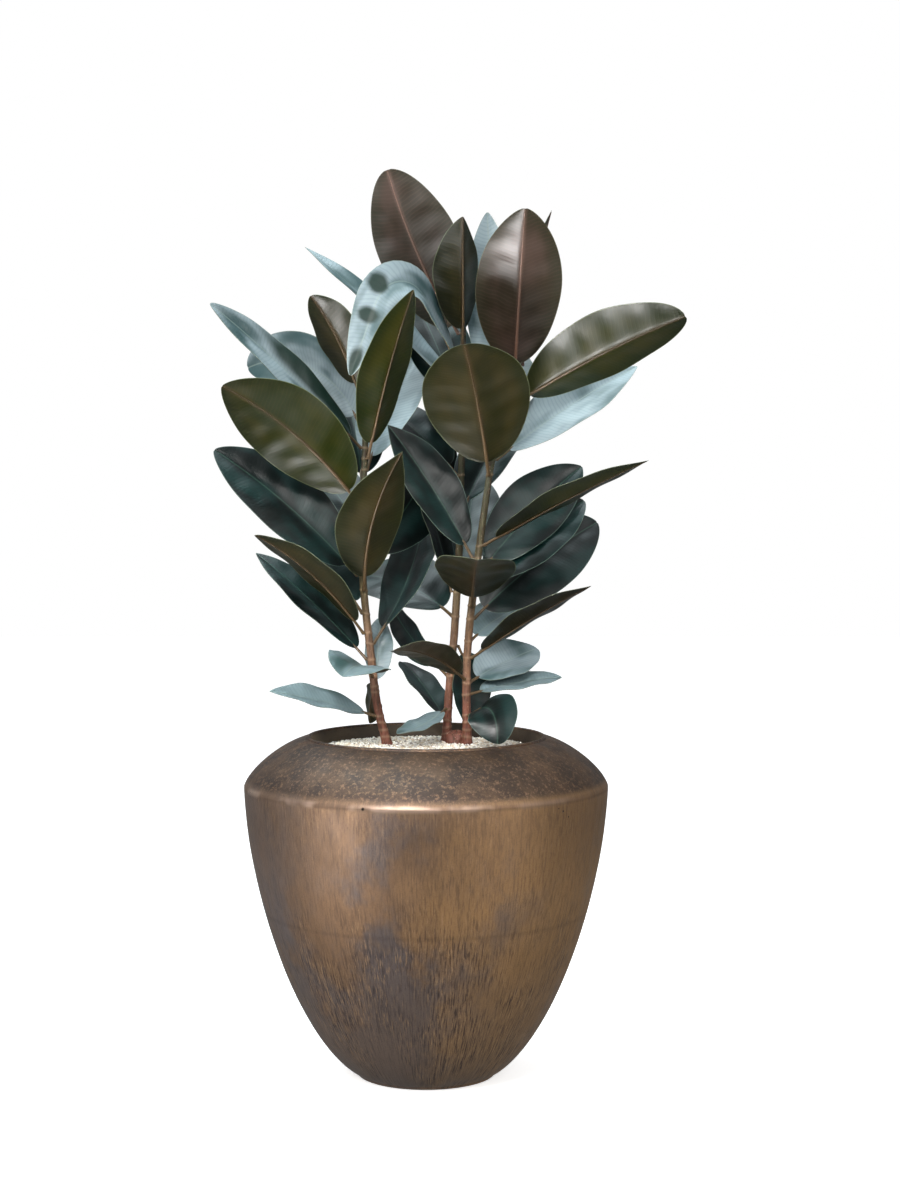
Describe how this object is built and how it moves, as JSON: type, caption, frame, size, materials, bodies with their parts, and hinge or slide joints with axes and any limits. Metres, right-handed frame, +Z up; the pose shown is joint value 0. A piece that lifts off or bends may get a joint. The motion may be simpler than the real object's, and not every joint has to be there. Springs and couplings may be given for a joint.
{
  "type": "potted abidjan rubber plant",
  "caption": "Broad-leaved indoor rubber plant with slim upright stems and large dark leaves, standing in a round-bellied bronze-coloured planter topped with gravel.",
  "frame": {"origin": "middle of the pot's flat underside", "axes": "+Z up along the pot's axis; -Y is the side shown at the front, and the stems stand in a row roughly along X"},
  "size_m": [0.7026, 0.559, 1.3728],
  "materials": {
    "pot_bronze": "bronze-coloured glaze with upright streaks, half gloss",
    "soil": "moist potting mix",
    "gravel": "washed pale gravel",
    "bark": "smooth brown bark with leaf scars",
    "leaf": "waxy and dark above, matt olive beneath"
  },
  "bodies": {
    "root": {"pot": "pot_bronze", "soil": "soil", "gravel": "gravel", "stem_left": "bark", "stem_middle": "bark", "stem_right": "bark", "leaf_left_01": "leaf", "leaf_left_02": "leaf", "leaf_left_03": "leaf", "leaf_left_04": "leaf", "leaf_left_05": "leaf", "leaf_left_06": "leaf", "leaf_left_07": "leaf", "leaf_left_08": "leaf", "leaf_left_09": "leaf", "leaf_left_10": "leaf", "leaf_left_11": "leaf", "leaf_left_12": "leaf", "leaf_left_13": "leaf", "leaf_left_14": "leaf", "leaf_left_15": "leaf", "leaf_left_16": "leaf", "leaf_left_17": "leaf", "leaf_left_18": "leaf", "leaf_left_19": "leaf", "leaf_middle_01": "leaf", "leaf_middle_02": "leaf", "leaf_middle_03": "leaf", "leaf_middle_04": "leaf", "leaf_middle_05": "leaf", "leaf_middle_06": "leaf", "leaf_middle_07": "leaf", "leaf_middle_08": "leaf", "leaf_middle_09": "leaf", "leaf_middle_10": "leaf", "leaf_middle_11": "leaf", "leaf_middle_12": "leaf", "leaf_middle_13": "leaf", "leaf_middle_14": "leaf", "leaf_middle_15": "leaf", "leaf_right_01": "leaf", "leaf_right_02": "leaf", "leaf_right_03": "leaf", "leaf_right_04": "leaf", "leaf_right_05": "leaf", "leaf_right_06": "leaf", "leaf_right_07": "leaf", "leaf_right_08": "leaf", "leaf_right_09": "leaf", "leaf_right_10": "leaf", "leaf_right_11": "leaf", "leaf_right_12": "leaf", "leaf_right_13": "leaf", "leaf_right_14": "leaf", "leaf_right_15": "leaf", "leaf_right_16": "leaf", "leaf_right_17": "leaf", "leaf_right_18": "leaf", "leaf_right_19": "leaf"}
  },
  "joints": []
}
